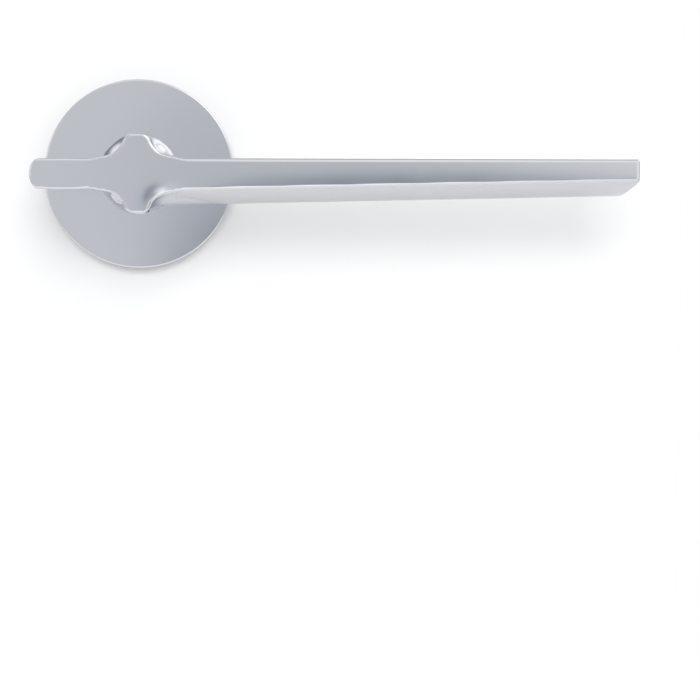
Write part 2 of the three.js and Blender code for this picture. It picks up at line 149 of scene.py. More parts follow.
def neck_field(x, y, z):
    """A round bar with four flutes that run out just before its rear end."""
    trim_run_out = 5.0
    rear_edge = 0.4
    bar = np.hypot(x, z) - NECK_RADIUS
    clear_of_bar = NECK_RADIUS + NECK_EDGE
    trim_height = mix((RIDGE_HEIGHT, clear_of_bar), smooth_step(FLUTE_END, FLUTE_END + trim_run_out, y))
    trim = np.abs(z) - trim_height
    past_end = np.maximum(y - FLUTE_END, 0.0) * (FLUTE_RADIUS / FLUTE_RUN_OUT)
    from_axis = np.sqrt((np.abs(x) - FLUTE_X) ** 2 + (np.abs(z) - FLUTE_Z) ** 2 + past_end ** 2)
    flute = from_axis - FLUTE_RADIUS
    neck = round_and(NECK_EDGE, bar, trim, -flute)
    return round_and(rear_edge, neck, y - NECK_REAR)


def tail_field(x, y, z):
    """A flat bar with a D-shaped end, slightly crowned along its length."""
    middle = (TAIL_TOP + TAIL_BOTTOM) / 2
    half = (TAIL_TOP - TAIL_BOTTOM) / 2
    crown = TAIL_CROWN * (x - TAIL_CROWN_X) ** 2
    height = np.abs(z - middle) + crown
    past_end = np.maximum(TAIL_END + TAIL_ROUND - x, 0.0) * (half / TAIL_ROUND)
    section = np.hypot(past_end, height) - half
    return round_and(EDGE, section, y - BLADE_BACK, x)


def arm_field(x, y, z):
    """A long flat bar that tapers to its tip, and leans towards the door."""
    along = (x - ARM_ROOT) / (ARM_TIP - ARM_ROOT)
    across = (y - LEVER_FRONT) / (BLADE_BACK - LEVER_FRONT)
    bulge = ARM_CROWN * 4.0 * np.clip(across, 0.0, 1.0) * np.clip(1.0 - across, 0.0, 1.0)
    top = mix((mix(ARM_FRONT_TOP, along), mix(ARM_BACK_TOP, along)), across) + bulge
    bottom = mix((mix(ARM_FRONT_BOTTOM, along), mix(ARM_BACK_BOTTOM, along)), across) - bulge
    back_thickness = mix(ARM_BACK_TOP, along) - mix(ARM_BACK_BOTTOM, along)
    back = BLADE_BACK - ARM_LEAN * (mix(ARM_BACK_TOP, along) - z) / back_thickness
    tip = ARM_TIP - ARM_TIP_SLANT * (1.0 - across)
    return round_and(EDGE, z - top, bottom - z, y - back, x - tip, ARM_ROOT - x)


def spigot_field(x, y, z):
    """The part that turns in the bush, with flats for the driver and a groove for the circlip."""
    inside_neck = 2.0
    edge = 0.15
    from_axis = np.hypot(x, z)
    flats = np.maximum(SPIGOT_FLAT - np.abs(z), SPIGOT_FLAT_START - y)
    groove = np.maximum.reduce([GROOVE[0] - y, y - GROOVE[1], GROOVE_RADIUS - from_axis])
    ends = [y - SPIGOT_END, NECK_REAR - inside_neck - y]
    return round_and(edge, from_axis - SPIGOT_RADIUS, -flats, -groove, *ends)


def front_face(x, y, z):
    """Flat on the neck and the tail, very slightly crowned along the arm, and worn down at the crotch."""
    arm_middle = 0.6
    crown = FACE_CROWN * smooth_step(NECK_RADIUS, 3 * NECK_RADIUS, x) * (z - arm_middle) ** 2
    reach = ((x - CROTCH[0]) ** 2 + (z - CROTCH[1]) ** 2) / (2 * CROTCH_SIZE ** 2)
    return LEVER_FRONT - y + crown + CROTCH_WEAR * np.exp(-reach)


def lever_field(x, y, z):
    """The whole casting: neck, tail, arm and spigot, with the socket and the grub screw's hole."""
    socket_edge = 0.15
    grub_hole_edge = 0.25
    blade = np.minimum(tail_field(x, y, z), arm_field(x, y, z))
    body = round_or(INNER_FILLET, neck_field(x, y, z), blade)
    edge = mix(FRONT_EDGE, smooth_step(-NECK_RADIUS, NECK_RADIUS, x))
    body = round_and(edge, body, front_face(x, y, z))
    body = np.minimum(body, spigot_field(x, y, z))
    socket = np.maximum.reduce([np.abs(x) - SOCKET_HALF, np.abs(z) - SOCKET_HALF, SOCKET_FRONT - y])
    grub_hole = np.maximum(np.hypot(x, y - GRUB_Y) - GRUB_HOLE_RADIUS, z + SOCKET_HALF / 2)
    body = round_and(socket_edge, body, -socket)
    return round_and(grub_hole_edge, body, -grub_hole)


# ---------------- surface from a distance formula

def steps(*stretches):
    """Grid places along one axis, from (start, end, step) stretches that follow each other."""
    places = [stretches[0][0]]
    for start, end, step in stretches:
        count = max(1, round((end - start) / step))
        places.extend(start + (end - start) * i / count for i in range(1, count + 1))
    return np.array(places)


def gradient(field, points, reach=0.01):
    """The slope of the field at each point."""
    slopes = []
    for axis in range(3):
        ahead = points.copy()
        behind = points.copy()
        ahead[:, axis] += reach
        behind[:, axis] -= reach
        slopes.append((field(*ahead.T) - field(*behind.T)) / (2 * reach))
    return np.stack(slopes, axis=1)


def surface_net(field, xs, ys, zs):
    """Points, outward quads and normals of the field's zero surface, one point per crossed grid cell."""
    grid = np.stack(np.meshgrid(xs, ys, zs, indexing="ij"), axis=-1)
    value = field(grid[..., 0], grid[..., 1], grid[..., 2])
    inside = value < 0
    cells = tuple(n - 1 for n in value.shape)
    total = np.zeros(cells + (3,))
    count = np.zeros(cells)
    for axis in range(3):
        others = [a for a in range(3) if a != axis]
        low = [slice(None)] * 3
        high = [slice(None)] * 3
        low[axis] = slice(0, -1)
        high[axis] = slice(1, None)
        a, b = value[tuple(low)], value[tuple(high)]
        crossed = inside[tuple(low)] != inside[tuple(high)]
        share = np.where(crossed, a / np.where(crossed, a - b, 1.0), 0.0)
        point = grid[tuple(low)] + (grid[tuple(high)] - grid[tuple(low)]) * share[..., None]
        for first in (0, 1):
            for second in (0, 1):
                part = [slice(None)] * 3
                for other, shift in zip(others, (first, second)):
                    part[other] = slice(shift, shift + cells[other])
                part = tuple(part)
                total += point[part] * crossed[part][..., None]
                count += crossed[part]
    used = count > 0
    points = total[used] / count[used][:, None]
    number = np.full(cells, -1)
    number[used] = np.arange(len(points))

    quads = []
    for axis in range(3):
        others = [a for a in range(3) if a != axis]
        part = [slice(1, -1)] * 3
        part[axis] = slice(0, -1)
        far = list(part)
        far[axis] = slice(1, None)
        here, there = inside[tuple(part)], inside[tuple(far)]
        at = np.argwhere(here != there)
        leaving = here[here != there]
        for other in others:
            at[:, other] += 1
        ring = []
        for first, second in ((0, 0), (1, 0), (1, 1), (0, 1)):
            cell = at.copy()
            cell[:, others[0]] -= first
            cell[:, others[1]] -= second
            ring.append(number[tuple(cell.T)])
        ring = np.stack(ring, axis=1)
        flip = leaving if axis == 1 else ~leaving
        ring[flip] = ring[flip][:, ::-1]
        quads.append(ring)
    quads = np.concatenate(quads)

    rounds = 6
    flattest = 0.05
    longest = 0.3
    for _ in range(rounds):
        slope = gradient(field, points)
        steepness = np.maximum((slope ** 2).sum(axis=1), flattest)
        shift = np.clip(field(*points.T) / steepness, -longest, longest)
        points = points - slope * shift[:, None]
    normals = gradient(field, points)
    normals /= np.maximum(np.linalg.norm(normals, axis=1), 1e-9)[:, None]
    return points, quads, normals


# ---------------- making pieces

CREASE = 0.6  # cosine of the angle between a point's normal and its face beyond which the face looks flat


def agreeing_normals(points, quads, normals):
    """One normal per corner of each quad: its point's own, or at a sharp crease the quad's."""
    quads = np.asarray(quads)
    across = points[quads[:, 2]] - points[quads[:, 0]]
    other = points[quads[:, 3]] - points[quads[:, 1]]
    facing = np.cross(across, other)
    facing /= np.maximum(np.linalg.norm(facing, axis=1), 1e-12)[:, None]
    chosen = normals[quads]
    agreement = (chosen * facing[:, None, :]).sum(axis=2)
    chosen[agreement < CREASE] = np.repeat(facing[:, None, :], 4, axis=1)[agreement < CREASE]
    return chosen


def new_piece(name, points, faces, material, normals=None, face_normals=None):
    """A mesh object from points in millimetres, with one normal per point or one per face corner."""
    mesh = bpy.data.meshes.new(name)
    mesh.from_pydata((np.asarray(points) * MM).tolist(), [], [list(map(int, face)) for face in faces])
    mesh.polygons.foreach_set("use_smooth", [True] * len(mesh.polygons))
    if normals is not None:
        face_normals = agreeing_normals(np.asarray(points), faces, normals)
    if face_normals is not None:
        mesh.normals_split_custom_set([tuple(n) for corner_set in face_normals for n in corner_set])
    mesh.materials.append(material)
    piece = bpy.data.objects.new(name, mesh)
    bpy.context.scene.collection.objects.link(piece)
    return piece


def finish_piece(piece, body, node):
    """Hangs the piece on the empty of the body it rides on, and hides the CAD node it stands for."""
    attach(piece, body)
    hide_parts(node)


def line(start, end):
    """A straight stretch of a profile: its points and the normal at each."""
    direction = np.subtract(end, start)
    normal = np.array([direction[1], -direction[0]]) / np.linalg.norm(direction)
    return [(np.array(start, float), normal), (np.array(end, float), normal)]


def arc(centre, radius, start_degrees, end_degrees, count=4, hollow=False):
    """A round stretch of a profile. A hollow one faces its centre."""
    stretch = []
    for i in range(count + 1):
        angle = math.radians(start_degrees + (end_degrees - start_degrees) * i / count)
        direction = np.array([math.cos(angle), math.sin(angle)])
        stretch.append((np.array(centre) + radius * direction, -direction if hollow else direction))
    return stretch


def lathe(stretches, facets):
    """A body of revolution about the Y axis, from stretches of (radius, y) points with their normals."""
    angles = np.linspace(0, 2 * math.pi, facets, endpoint=False)
    points = []
    faces = []
    face_normals = []
    index = {}

    def turned(place, i):
        """A point or a normal of the profile, carried round to one of the angles."""
        return place[0] * math.cos(angles[i]), place[1], place[0] * math.sin(angles[i])

    def circle_of(place):
        """The number of the first point on this place's circle."""
        key = (round(place[0], 6), round(place[1], 6))
        if key not in index:
            index[key] = len(points)
            points.extend(turned(place, i) for i in range(facets))
        return index[key]

    for stretch in stretches:
        for (start, start_normal), (end, end_normal) in zip(stretch, stretch[1:]):
            a = circle_of(start)
            b = circle_of(end)
            for i in range(facets):
                j = (i + 1) % facets
                faces.append([a + i, b + i, b + j, a + j])
                around = ((start_normal, i), (end_normal, i), (end_normal, j), (start_normal, j))
                face_normals.append([turned(*item) for item in around])
    return points, faces, face_normals


# ---------------- materials

NOISE_SPREAD = (0.3, 0.7)  # where most values of a noise lie


class Surface:
    """A material under construction: its shader, and helpers that add nodes to it."""

    def __init__(self, name, colour, metallic, roughness):
        self.material = bpy.data.materials.new(name)
        self.material.use_nodes = True
        self.tree = self.material.node_tree
        self.shader = self.tree.nodes["Principled BSDF"]
        self.shader.inputs["Base Color"].default_value = (*colour, 1.0)
        self.shader.inputs["Metallic"].default_value = metallic
        self.shader.inputs["Roughness"].default_value = roughness
        self.place = self.tree.nodes.new("ShaderNodeTexCoord").outputs["Object"]

    def noise(self, per_metre, detail=2.0, stretch=(1.0, 1.0, 1.0)):
        """Noise over the piece, per_metre fine. A larger stretch makes it finer along that axis."""
        mapping = self.tree.nodes.new("ShaderNodeMapping")
        mapping.inputs["Scale"].default_value = stretch
        self.tree.links.new(self.place, mapping.inputs["Vector"])
        noise = self.tree.nodes.new("ShaderNodeTexNoise")
        noise.inputs["Scale"].default_value = per_metre
        noise.inputs["Detail"].default_value = detail
        self.tree.links.new(mapping.outputs["Vector"], noise.inputs["Vector"])
        return noise.outputs["Fac"]

    def vary(self, socket, value, low, high):
        """Drives a number of the shader with a noise, between low and high."""
        scale = self.tree.nodes.new("ShaderNodeMapRange")
        scale.inputs["From Min"].default_value = NOISE_SPREAD[0]
        scale.inputs["From Max"].default_value = NOISE_SPREAD[1]
        scale.inputs["To Min"].default_value = low
        scale.inputs["To Max"].default_value = high
        self.tree.links.new(value, scale.inputs["Value"])
        self.tree.links.new(scale.outputs["Result"], self.shader.inputs[socket])

    def tint(self, value, *colours):
        """Drives the base colour between two colours."""
        ramp = self.tree.nodes.new("ShaderNodeValToRGB")
        for stop, position, colour in zip(ramp.color_ramp.elements, NOISE_SPREAD, colours):
            stop.position = position
            stop.color = (*colour, 1.0)
        self.tree.links.new(value, ramp.inputs["Fac"])
        self.tree.links.new(ramp.outputs["Color"], self.shader.inputs["Base Color"])

    def bump(self, height, depth_mm):
        """Relief of the given depth."""
        bump = self.tree.nodes.new("ShaderNodeBump")
        bump.inputs["Strength"].default_value = 1.0
        bump.inputs["Distance"].default_value = depth_mm * MM
        self.tree.links.new(height, bump.inputs["Height"])
        self.tree.links.new(bump.outputs["Normal"], self.shader.inputs["Normal"])


def polished_chrome():
    """Bright plate over a hand-polished casting: very smooth, with a faint haze and a faint waviness."""
    chrome = Surface("polished_chrome", (0.63, 0.64, 0.665), 1.0, 0.11)
    chrome.shader.inputs["Specular Tint"].default_value = (0.82, 0.82, 0.83, 1.0)
    chrome.vary("Roughness", chrome.noise(90, 4.0), 0.08, 0.13)
    chrome.bump(chrome.noise(60, 1.0), 0.004)
    return chrome.material


def turned_steel():
    """Satin steel with the fine rings that a lathe leaves."""
    steel = Surface("turned_steel", (0.4, 0.41, 0.43), 1.0, 0.32)
    steel.vary("Roughness", steel.noise(900, 3.0, (0.15, 4.0, 0.15)), 0.22, 0.42)
    steel.bump(steel.noise(2500, 2.0, (0.1, 4.0, 0.1)), 0.01)
    return steel.material


def zinc_plated_steel():
    """Bright zinc plate: slightly mottled, with a cool cast."""
    plate = Surface("zinc_plated_steel", (0.55, 0.56, 0.58), 1.0, 0.3)
    plate.tint(plate.noise(500, 3.0), (0.5, 0.51, 0.535), (0.57, 0.58, 0.6))
    plate.vary("Roughness", plate.noise(700, 3.0), 0.27, 0.38)
    plate.bump(plate.noise(3000, 2.0), 0.003)
    return plate.material


def spring_steel():
    """Drawn wire and stamped spring steel, dark and lightly oiled."""
    wire = Surface("spring_steel", (0.25, 0.25, 0.26), 1.0, 0.28)
    wire.vary("Roughness", wire.noise(1500, 3.0), 0.2, 0.4)
    wire.tint(wire.noise(500, 3.0), (0.2, 0.2, 0.21), (0.33, 0.33, 0.34))
    return wire.material


def cast_zinc():
    """A die casting as it leaves the mould: grey, with a fine grain and flow marks."""
    zinc = Surface("cast_zinc", (0.4, 0.41, 0.42), 1.0, 0.5)
    zinc.tint(zinc.noise(120, 6.0), (0.33, 0.335, 0.345), (0.47, 0.475, 0.485))
    zinc.vary("Roughness", zinc.noise(400, 4.0), 0.4, 0.62)
    zinc.bump(zinc.noise(4000, 4.0), 0.03)
    return zinc.material


def black_nylon():
    """Moulded black nylon with a fine spark-eroded texture."""
    nylon = Surface("black_nylon", (0.02, 0.02, 0.022), 0.0, 0.5)
    nylon.vary("Roughness", nylon.noise(2500, 2.0), 0.42, 0.6)
    nylon.bump(nylon.noise(5000, 2.0), 0.015)
    return nylon.material


CHROME = polished_chrome()
TURNED = turned_steel()
PLATED = zinc_plated_steel()
SPRING = spring_steel()
ZINC = cast_zinc()
NYLON = black_nylon()


# ---------------- the lever

def make_lever():
    """The casting, on a grid that is coarse only where it is straight along an axis."""
    fine = 0.34
    coarse = 1.2
    past = 1.0
    edge = 2.0
    corner_zone = 3.0
    hub_end = 15.0
    tip = ARM_TIP - corner_zone
    flutes_stop = FLUTE_END - past
    xs = steps((TAIL_END - past, hub_end, fine), (hub_end, tip, coarse), (tip, ARM_TIP + past, fine))
    ys = steps(
        (LEVER_FRONT - past, LEVER_FRONT + edge, fine),
        (LEVER_FRONT + edge, BLADE_BACK - corner_zone, coarse),
        (BLADE_BACK - corner_zone, BLADE_BACK + corner_zone, fine),
        (BLADE_BACK + corner_zone, flutes_stop, coarse),
        (flutes_stop, SPIGOT_END + past, fine),
    )
    zs = steps((-NECK_RADIUS - past, NECK_RADIUS + past, fine))
    points, quads, normals = surface_net(lever_field, xs, ys, zs)
    piece = new_piece("lever_casting", points, quads, CHROME, normals=normals)
    finish_piece(piece, "lever", "lever")


make_lever()

# ---------------- the rose cover and the collar

def make_rose_cover():
    """A pressed cup with a small round on its front rim. Its face is a touch proud in the middle."""
    rim = 0.45
    crown = 0.28
    wall = 0.9
    face = 0.8
    hole = 10.4
    inside = ROSE_FRONT + face
    inner = ROSE_RADIUS - wall
    hem = 0.12
    sphere = (ROSE_RADIUS ** 2 - hole ** 2) / (2 * crown)
    start = math.asin((hole + hem) / sphere)
    end = math.asin((ROSE_RADIUS - rim) / (sphere - rim))
    centre_y = ROSE_FRONT + sphere * math.cos(start)
    edge_y = centre_y - (sphere - rim) * math.cos(end)
    slope = math.degrees(end)
    profile = [
        line((hole, inside), (hole, ROSE_FRONT + hem)),
        arc((hole + hem, ROSE_FRONT + hem), hem, 180, 270),
        arc((0.0, centre_y), sphere, math.degrees(start) - 90, slope - 90, count=12),
        arc((ROSE_RADIUS - rim, edge_y), rim, slope - 90, 0, count=10),
        line((ROSE_RADIUS, edge_y), (ROSE_RADIUS, -hem)),
        arc((ROSE_RADIUS - hem, -hem), hem, 0, 90),
        line((ROSE_RADIUS - hem, 0), (inner, 0)),
        line((inner, 0), (inner, inside + rim)),
        arc((inner - rim, inside + rim), rim, 0, -90, count=8, hollow=True),
        line((inner - rim, inside), (hole, inside)),
    ]
    points, faces, normals = lathe(profile, facets=256)
    piece = new_piece("rose_cup", points, faces, CHROME, face_normals=normals)
    finish_piece(piece, "rose", "rose_cover")


def make_collar():
    """The ring between the neck and the rose."""
    bore = SPIGOT_RADIUS + 0.3
    edge = 0.15
    front = NECK_REAR + 0.02
    rear = ROSE_FRONT + 0.3
    profile = [
        line((bore, rear), (bore, front)),
        line((bore, front), (COLLAR_RADIUS - edge, front)),
        arc((COLLAR_RADIUS - edge, front + edge), edge, -90, 0),
        line((COLLAR_RADIUS, front + edge), (COLLAR_RADIUS, rear)),
        line((COLLAR_RADIUS, rear), (bore, rear)),
    ]
    points, faces, normals = lathe(profile, facets=128)
    piece = new_piece("collar_ring", points, faces, TURNED, face_normals=normals)
    finish_piece(piece, "lever", "neck_collar")


make_rose_cover()
make_collar()

# ---------------- pieces cut from formulas

THIN_MARGIN = 0.3  # of the grid past the faces of a thin sheet


def span(low, high, step, margin=0.6):
    """Evenly spaced grid places that pass both ends by a margin."""
    return steps((low - margin, high + margin, step))


def net_piece(name, field, grid, material, place=(0.0, 0.0, 0.0)):
    """A piece from a formula drawn about the origin, then carried to its place."""
    points, quads, normals = surface_net(field, *grid)
    return new_piece(name, points + np.array(place), quads, material, normals=normals)


def fixing_pair(name, node, field, grid, places):
    """Two identical plated fixings in the rose, from one formula; places has one place for each side."""
    points, quads, normals = surface_net(field, *grid)
    for side, place in places.items():
        piece = new_piece(name + side, points + np.array(place), quads, PLATED, normals=normals)
        finish_piece(piece, "rose", node + side)


def slab(value, low, high):
    """The space between two parallel planes."""
    return np.maximum(low - value, value - high)


def disc_field(x, y, z, radius, reach, centre=(0.0, 0.0)):
    """A cylinder about an axis along Y; reach is its two y values."""
    return np.maximum(np.hypot(x - centre[0], z - centre[1]) - radius, slab(y, *reach))


def box_field(x, y, z, low, high):
    """A block between two opposite corners."""
    return np.maximum.reduce([slab(*side) for side in zip((x, y, z), low, high)])


def thread_depth(along, angle, pitch, depth, start, end):
    """How deep a right-hand thread is cut, fading out at both ends of its length."""
    flank = 1.3
    crest = 0.15
    run_out = 0.7 * pitch
    wave = np.abs((along / pitch - angle / (2 * math.pi)) % 1.0 - 0.5) * 2.0
    fade = smooth_step(start, start + pitch, along) * (1.0 - smooth_step(end - run_out, end, along))
    return depth * np.clip(wave * flank - crest, 0.0, 1.0) * fade


# ---------------- fixings

BOLT_LOW = corner("fixing_bolt_right", 0)
BOLT_HIGH = corner("fixing_bolt_right", 1)
BOLT_X = (BOLT_LOW[0] + BOLT_HIGH[0]) / 2
BOLT_HEAD_RADIUS = (BOLT_HIGH[0] - BOLT_LOW[0]) / 2
BOLT_HEAD_REAR = -4.7
BOLT_RADIUS = 2.0
BOLT_PITCH = 0.7
BOLT_THREAD = 0.3  # depth of the thread
BOLT_PLAIN = 3.0  # length of shank behind the head that has no thread
BOLT_DOME = 9.0  # radius of the head's domed front
WASHER_RADII = (2.3, 3.9)
SLOT_HALF = 0.45
SLOT_DEPTH = 0.8
SCREW_Z = 18.2
SCREW_HEAD = (-7.5, -6.45)
SCREW_HEAD_RADIUS = 2.3
SCREW_RADIUS = 1.25
SCREW_END = -2.4
SCREW_PITCH = 0.5
SCREW_THREAD = 0.18
SCREW_PLAIN = 0.4
SCREW_SLOT_DEPTH = 0.6
SCREW_SLOT_SHARE = 0.8  # of the bolts' slot width
GRUB_RADIUS = 2.5
GRUB_REACH = (-10.3, -4.3)  # z
GRUB_PITCH = 0.8
GRUB_THREAD = 0.3
GRUB_KEY = 2.5
GRUB_KEY_DEPTH = 2.6


def bolt_field(x, y, z):
    """A slotted pan-head bolt with a thread down to its pointed end."""
    head_edge = 0.5
    slot_edge = 0.08
    point_length = 0.6
    root = 1.0
    front = BOLT_LOW[1]
    end = BOLT_HIGH[1]
    from_axis = np.hypot(x, z)
    dome = np.hypot(from_axis, y - front - BOLT_DOME) - BOLT_DOME
    head = round_and(head_edge, from_axis - BOLT_HEAD_RADIUS, dome, y - BOLT_HEAD_REAR)
    head = np.maximum(head, y - BOLT_HEAD_REAR)
    slot = np.maximum(np.abs(z) - SLOT_HALF, y - front - SLOT_DEPTH)
    thread_start = BOLT_HEAD_REAR + BOLT_PLAIN
    cut = thread_depth(y, np.arctan2(x, z), BOLT_PITCH, BOLT_THREAD, thread_start, end)
    point = np.maximum(y - (end - point_length), 0.0)
    shank = np.maximum.reduce([from_axis - BOLT_RADIUS + cut + point, y - end, front + root - y])
    return round_and(slot_edge, np.minimum(head, shank), -slot)


def make_bolts():
    across = span(-BOLT_HEAD_RADIUS, BOLT_HEAD_RADIUS, step=0.2)
    grid = (across, span(BOLT_LOW[1], BOLT_HIGH[1], step=0.115), across)
    places = {"right": (BOLT_X, 0.0, 0.0), "left": (-BOLT_X, 0.0, 0.0)}
    fixing_pair("m4_bolt_", "fixing_bolt_", bolt_field, grid, places)


def plate_screw_field(x, y, z):
    """A countersunk slotted screw."""
    seat_clearance = 0.04
    cone_cosine = 0.8
    slot_edge = 0.06
    front, rear = SCREW_HEAD
    from_axis = np.hypot(x, z)
    cone = SCREW_HEAD_RADIUS + (SCREW_RADIUS - SCREW_HEAD_RADIUS) * (y - front) / (rear - front)
    cut = thread_depth(y, np.arctan2(x, z), SCREW_PITCH, SCREW_THREAD, rear + SCREW_PLAIN, SCREW_END)
    radius = np.maximum(cone - seat_clearance, SCREW_RADIUS - cut)
    slot = np.maximum(np.abs(z) - SLOT_HALF * SCREW_SLOT_SHARE, y - front - SCREW_SLOT_DEPTH)
    body = np.maximum((from_axis - radius) * cone_cosine, slab(y, front, SCREW_END))
    return round_and(slot_edge, body, -slot)


def make_plate_screws():
    across = span(-SCREW_HEAD_RADIUS, SCREW_HEAD_RADIUS, step=0.13)
    grid = (across, span(SCREW_HEAD[0], SCREW_END, step=0.1), across)
    places = {"top": (0.0, 0.0, SCREW_Z), "bottom": (0.0, 0.0, -SCREW_Z)}
    fixing_pair("countersunk_screw_", "plate_screw_", plate_screw_field, grid, places)


def grub_field(x, y, z):
    """A socket set screw, upright, with its hexagon socket below."""
    thread_past = (0.4, 0.3)  # how far the thread would run on, below and above
    chamfer = (0.5, 0.7)  # at the bottom and at the top
    lead_in_radius = GRUB_KEY * 0.56
    lead_in_depth = 0.25
    drill_slope = 0.3
    socket_edge = 0.06
    bottom, top = GRUB_REACH
    from_axis = np.hypot(x, y)
    turn = np.arctan2(y, x)
    cut = thread_depth(z, turn, GRUB_PITCH, GRUB_THREAD, bottom - thread_past[0], top + thread_past[1])
    ends = np.maximum(bottom + chamfer[0] - z, 0.0) + np.maximum(z - top + chamfer[1], 0.0)
    body = np.maximum(from_axis - GRUB_RADIUS + np.maximum(cut, ends), slab(z, bottom, top))
    flats = [x * math.cos(a) + y * math.sin(a) for a in np.radians((0, 60, 120))]
    hexagon = np.maximum.reduce([np.abs(flat) - GRUB_KEY / 2 for flat in flats])
    lead_in = from_axis - lead_in_radius - (bottom + lead_in_depth - z)
    depth = z - bottom - GRUB_KEY_DEPTH + from_axis * drill_slope
    socket = np.maximum(np.minimum(hexagon, lead_in), depth)
    return round_and(socket_edge, body, -socket)


def make_grub_screw():
    across = span(-GRUB_RADIUS, GRUB_RADIUS, step=0.14)
    grid = (across, across, span(GRUB_REACH[0], GRUB_REACH[1], step=0.1))
    screw = net_piece("socket_set_screw", grub_field, grid, PLATED, (0.0, GRUB_Y, 0.0))
    finish_piece(screw, "lever", "grub_screw")


make_bolts()
make_plate_screws()
make_grub_screw()

# ---------------- the spindle and what turns with the lever

SPINDLE_HALF = corner("spindle", 1)[0]
SPINDLE_REACH = depths("spindle")
DRIVER_REACH = corner("driver_cam", 1)[0]
DRIVER_Y = depths("driver_cam")
DRIVER_HUB = corner("driver_cam", 1)[2]
DRIVER_ARM_HALF = 2.5
CLIP_Y = depths("circlip")
CLIP_INNER = 7.2
CLIP_OUTER = 9.0
CLIP_HALF_GAP = 2.2
CLIP_EAR = (3.5, -8.4)  # x and z
CLIP_EAR_RADIUS = 1.5
CLIP_EAR_HOLE = 0.6
SPINDLE_CHAMFER = 0.5
GAP = 0.3  # between neighbouring pieces
FREE_FIT = SPIGOT_RADIUS + GAP
WAVE_Y = -4.85
WAVE_HALF_THICKNESS = 0.14
WAVE_HEIGHT = 0.14  # half the height of its waves
WAVE_COUNT = 3
SLIDING_RADIUS = 9.6  # of the two washers


def spindle_field(x, y, z):
    """A square drawn bar with chamfered edges, and a small chamfer round each end."""
    edge = 0.15
    half = SPINDLE_HALF
    corners = (np.abs(x) + np.abs(z) - 2 * half + SPINDLE_CHAMFER) / math.sqrt(2)
    section = np.maximum.reduce([np.abs(x) - half, np.abs(z) - half, corners])
    reach = slab(y, *SPINDLE_REACH)
    return round_and(edge, section, reach, (section + reach + SPINDLE_CHAMFER) / math.sqrt(2))


def make_spindle():
    """The spindle, on a grid that is fine only across it and at its ends."""
    fine = 0.22
    coarse = 1.5
    past = 0.5
    end = 1.5
    front, back = SPINDLE_REACH
    across = span(-SPINDLE_HALF, SPINDLE_HALF, fine)
    lengthwise = steps(
        (front - past, front + end, fine),
        (front + end, back - end, coarse),
        (back - end, back + past, fine),
    )
    bar = net_piece("square_bar", spindle_field, (across, lengthwise, across), PLATED)
    finish_piece(bar, "lever", "spindle")


def driver_field(x, y, z):
    """A stamped hub with two arms. Its bore fits the flats on the spigot."""
    arm_corner = 0.6
    inner_corner = 1.2
    bore_corner = 0.2
    edge = 0.18
    from_axis = np.hypot(x, z)
    arms = round_and(arm_corner, np.abs(z) - DRIVER_ARM_HALF, from_axis - DRIVER_REACH)
    outline = round_or(inner_corner, from_axis - DRIVER_HUB, arms)
    bore = round_and(bore_corner, from_axis - FREE_FIT, np.abs(z) - SPIGOT_FLAT - GAP)
    return round_and(edge, outline, -bore, slab(y, *DRIVER_Y))


def make_driver():
    step = 0.26
    lengthwise = span(-DRIVER_REACH, DRIVER_REACH, step)
    across = span(-DRIVER_HUB, DRIVER_HUB, step)
    grid = (lengthwise, span(*DRIVER_Y, step=step / 2, margin=THIN_MARGIN), across)
    driver = net_piece("spring_driver", driver_field, grid, PLATED)
    finish_piece(driver, "lever", "driver_cam")


def circlip_field(x, y, z):
    """An open ring with a pierced ear at each end."""
    inner_corner = 0.4
    edge = 0.12
    band = slab(np.hypot(x, z), CLIP_INNER, CLIP_OUTER)
    ear = np.hypot(np.abs(x) - CLIP_EAR[0], z - CLIP_EAR[1])
    shape = round_or(inner_corner, band, ear - CLIP_EAR_RADIUS)
    opening = np.maximum(np.abs(x) - CLIP_HALF_GAP, z)
    return round_and(edge, shape, -opening, CLIP_EAR_HOLE - ear, slab(y, *CLIP_Y))


def make_circlip():
    low = corner("circlip", 0)
    high = corner("circlip", 1)
    across = span(low[0], high[0], step=0.2)
    upright = span(low[2], high[2], step=0.2)
    grid = (across, span(*CLIP_Y, step=0.11, margin=THIN_MARGIN), upright)
    clip = net_piece("retaining_clip", circlip_field, grid, SPRING)
    finish_piece(clip, "lever", "circlip")


def ring_profile(inner, outer, front, rear, edge):
    """The outline of a flat ring with rounded edges."""
    return [
        line((inner, rear - edge), (inner, front + edge)),
        arc((inner + edge, front + edge), edge, 180, 270),
        line((inner + edge, front), (outer - edge, front)),
        arc((outer - edge, front + edge), edge, -90, 0),
        line((outer, front + edge), (outer, rear - edge)),
        arc((outer - edge, rear - edge), edge, 0, 90),
        line((outer - edge, rear), (inner + edge, rear)),
        arc((inner + edge, rear - edge), edge, 90, 180),
    ]


def make_ring(name, node, body, slot, material, radii, x=0.0, facets=96):
    """A flat washer in the place of a CAD node."""
    edge = 0.08
    points, faces, normals = lathe(ring_profile(*radii, *depths(node), edge), facets)
    points = np.array(points) + np.array((x, 0.0, 0.0))
    piece = new_piece(name, points, faces, material, face_normals=normals)
    finish_piece(piece, body, node)


def make_wave_washer():
    """A thin ring with three waves round it."""
    edge = 0.05
    front = WAVE_Y - WAVE_HALF_THICKNESS
    rear = WAVE_Y + WAVE_HALF_THICKNESS
    points, faces, _ = lathe(ring_profile(FREE_FIT, SLIDING_RADIUS, front, rear, edge), facets=144)
    points = np.array(points)
    points[:, 1] += WAVE_HEIGHT * np.cos(WAVE_COUNT * np.arctan2(points[:, 2], points[:, 0]))
    piece = new_piece("three_wave_washer", points, faces, SPRING)
    finish_piece(piece, "lever", "wave_washer")


